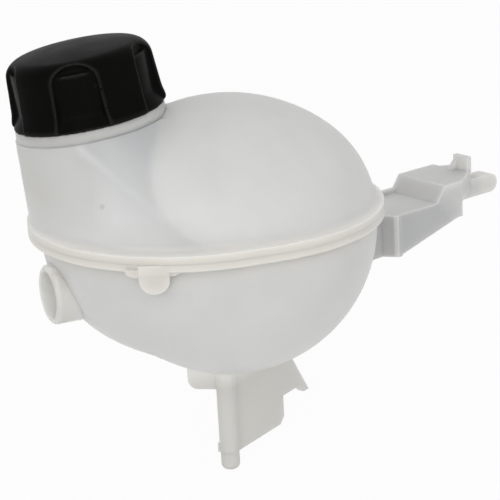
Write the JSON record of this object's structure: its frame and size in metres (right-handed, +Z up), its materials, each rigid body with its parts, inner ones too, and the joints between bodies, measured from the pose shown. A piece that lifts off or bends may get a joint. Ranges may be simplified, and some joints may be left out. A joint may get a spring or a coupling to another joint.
{
  "type": "coolant expansion tank",
  "caption": "Translucent coolant expansion tank of welded half shells with a black screw pressure cap, side mounting arm and locating foot.",
  "frame": {"origin": "on the axis of the locating pin under the tank, at the pin's shoulder", "axes": "+Z up along the foot, +X from the filler neck towards the far side of the dome, +Y to the back"},
  "size_m": [0.2207, 0.1704, 0.2001],
  "materials": {
    "tank_plastic": "satin, translucent natural",
    "cap_plastic": "satin black",
    "valve_plastic": "satin dark grey",
    "seal_rubber": "matt black",
    "valve_metal": "stamped",
    "spring_steel": "drawn wire"
  },
  "bodies": {
    "tank": {"lower_shell": "tank_plastic", "upper_shell": "tank_plastic"},
    "cartridge": {"valve_housing": "valve_plastic", "neck_seal": "seal_rubber", "spring_retainer": "valve_plastic", "pressure_spring": "spring_steel"},
    "screw_cap": {"cap": "cap_plastic"},
    "pressure_valve": {"pressure_plate": "valve_metal", "pressure_gasket": "seal_rubber", "vacuum_spring": "spring_steel"},
    "vacuum_valve": {"vacuum_poppet": "valve_metal", "vacuum_gasket": "seal_rubber", "stem_clip": "valve_metal"}
  },
  "joints": [
    {"name": "cap_lift", "type": "slide", "parent": "tank", "child": "cartridge", "axis": [-0.134, 0, 0.991], "range_m": [0, 0.006]},
    {"name": "cap_turn", "type": "hinge", "parent": "cartridge", "child": "screw_cap", "pos_m": [-0.0513, 0, 0.1594], "axis": [-0.134, 0, 0.991], "range_deg": [0, 540]},
    {"name": "pressure_open", "type": "slide", "parent": "cartridge", "child": "pressure_valve", "axis": [-0.134, 0, 0.991], "range_m": [0, 0.002], "stiffness_N_per_m": 400, "springref_m": -0.002, "deforming": ["pressure_spring"]},
    {"name": "vacuum_open", "type": "slide", "parent": "pressure_valve", "child": "vacuum_valve", "axis": [0.134, 0, -0.991], "range_m": [0, 0.0012], "stiffness_N_per_m": 50, "springref_m": -0.001, "deforming": ["vacuum_spring"]}
  ],
  "couplings": [
    {"joint": "cap_lift", "follows": "cap_turn", "m_per_rad": 0.0006366}
  ]
}
